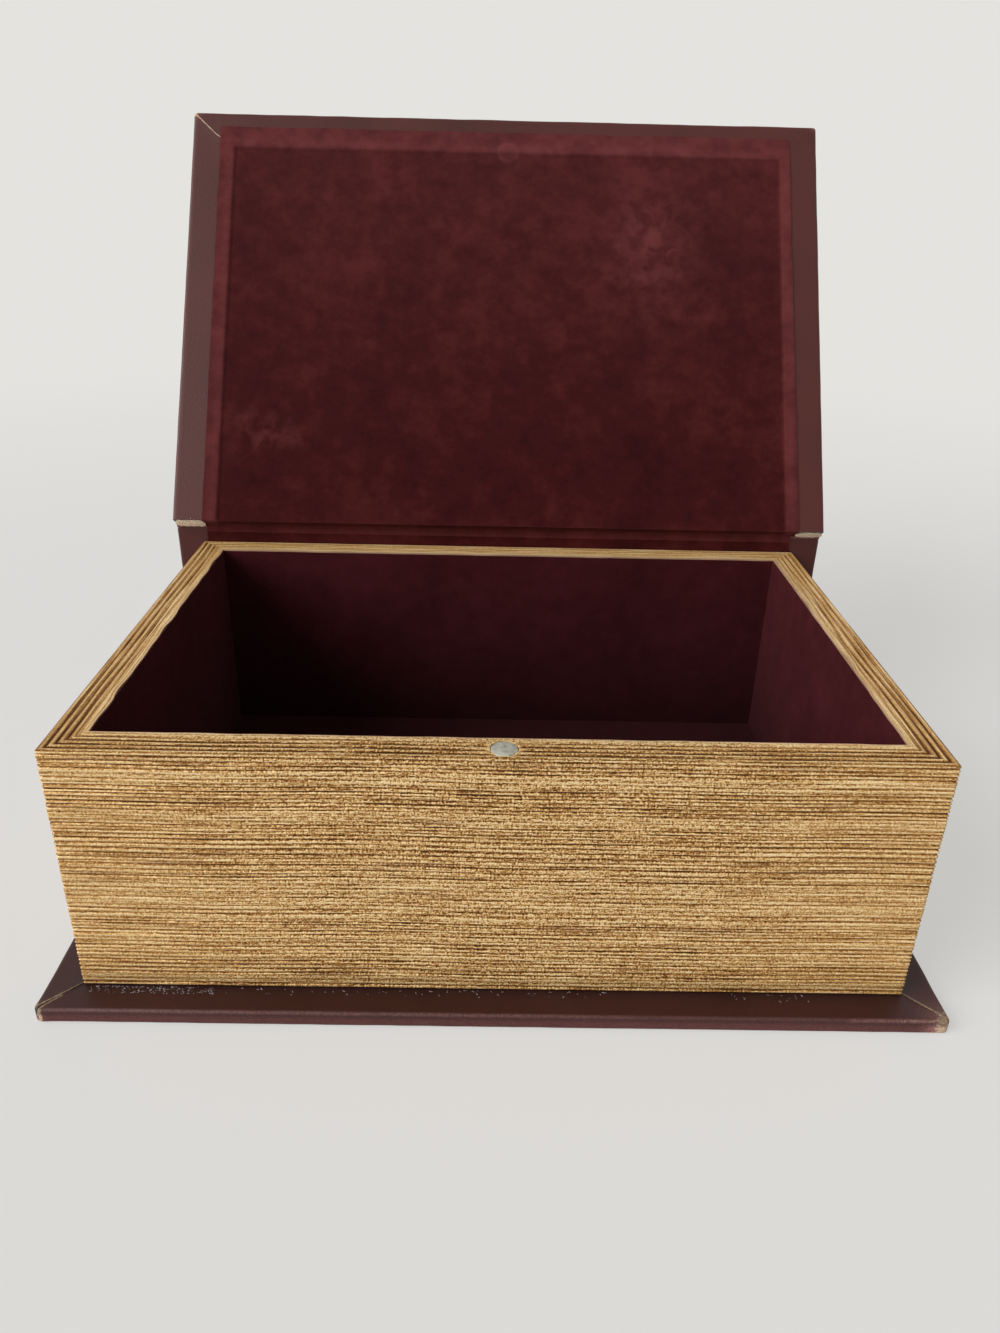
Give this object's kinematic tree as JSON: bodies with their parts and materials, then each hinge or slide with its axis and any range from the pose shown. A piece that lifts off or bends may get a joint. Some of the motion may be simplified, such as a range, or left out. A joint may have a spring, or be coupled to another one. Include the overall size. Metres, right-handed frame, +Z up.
{
  "type": "book-shaped trinket box",
  "caption": "Trinket box in the shape of a closed book: lined tray with gilt page-edge sides in a hard cover, hinged lid held shut by magnets.",
  "frame": {"origin": "middle of the cover's underside, on the surface that the box stands on", "axes": "+X to the right along the spine, +Y from the opening edge back to the spine, +Z up"},
  "size_m": [0.2112, 0.2178, 0.1947],
  "materials": {
    "leatherette": "satin",
    "greyboard": "matte",
    "fibreboard": "matte",
    "gilt_page_paper": "satin",
    "velvet_lining": "matte",
    "velvet_endpaper": "matte",
    "magnet": "satin"
  },
  "bodies": {
    "case": {"base_board": "greyboard", "endpaper_hinge": "velvet_endpaper", "endpaper_spine": "velvet_endpaper", "leatherette_base": "leatherette", "leatherette_hinge": "leatherette", "leatherette_spine": "leatherette", "lining_back": "velvet_lining", "lining_floor": "velvet_lining", "lining_front": "velvet_lining", "lining_left": "velvet_lining", "lining_right": "velvet_lining", "page_edge_paper": "gilt_page_paper", "spine_board": "greyboard", "tray_back_panel": "fibreboard", "tray_floor_panel": "fibreboard", "tray_front_panel": "fibreboard", "tray_left_panel": "fibreboard", "tray_magnet": "magnet", "tray_right_panel": "fibreboard"},
    "lid": {"endpaper_lid": "velvet_endpaper", "leatherette_lid": "leatherette", "lid_board": "greyboard", "lid_magnet": "magnet"}
  },
  "joints": [
    {"name": "lid_hinge", "type": "hinge", "parent": "case", "child": "lid", "pos_m": [0, 0.06882, 0.07305], "axis": [-1, 0, 0], "range_deg": [-122.5, 57.5], "deforming": ["leatherette_hinge", "endpaper_hinge"]}
  ]
}
